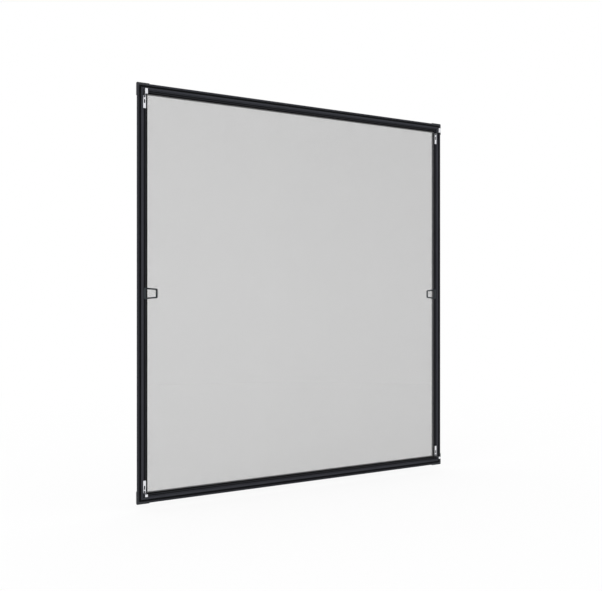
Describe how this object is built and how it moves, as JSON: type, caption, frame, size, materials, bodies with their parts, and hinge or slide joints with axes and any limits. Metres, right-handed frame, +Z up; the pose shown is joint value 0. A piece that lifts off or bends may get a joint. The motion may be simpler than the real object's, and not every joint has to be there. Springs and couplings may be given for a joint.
{
  "type": "window insect screen frame",
  "caption": "Hook-in insect screen for a window: mitred aluminium frame with brush seal, stretched mesh, Z-shaped hooks near the corners and finger handles on the stiles.",
  "frame": {"origin": "middle of the frame, in the plane of its front faces, where the brush meets the outside of the window frame", "axes": "+X to the right seen from the room, +Y away from the room, +Z up"},
  "size_m": [1.344, 0.0424, 1.504],
  "materials": {
    "frame_coat": "matt anthracite powder coat on aluminium",
    "cap_plastic": "fine grain",
    "key_plastic": "moulded",
    "brush_pile": "pile",
    "mesh_weave": "coated glass fibre weave, about 60 percent open",
    "spline_rubber": "matt",
    "hook_steel": "stainless strip",
    "screw_black": "black zinc",
    "handle_plastic": "fine grain"
  },
  "bodies": {
    "root": {"left_stile": "frame_coat", "right_stile": "frame_coat", "top_rail": "frame_coat", "bottom_rail": "frame_coat", "corner_key_top_left": "key_plastic", "corner_cap_top_left": "cap_plastic", "hook_top_left": "hook_steel", "corner_key_top_right": "key_plastic", "corner_cap_top_right": "cap_plastic", "hook_top_right": "hook_steel", "corner_key_bottom_left": "key_plastic", "corner_cap_bottom_left": "cap_plastic", "hook_bottom_left": "hook_steel", "corner_key_bottom_right": "key_plastic", "corner_cap_bottom_right": "cap_plastic", "hook_bottom_right": "hook_steel", "brush_strip_left": "brush_pile", "spline_left": "spline_rubber", "brush_strip_right": "brush_pile", "spline_right": "spline_rubber", "brush_strip_top": "brush_pile", "spline_top": "spline_rubber", "brush_strip_bottom": "brush_pile", "spline_bottom": "spline_rubber", "insect_mesh": "mesh_weave", "hook_screws": "screw_black", "handle_left": "handle_plastic", "handle_right": "handle_plastic"}
  },
  "joints": []
}
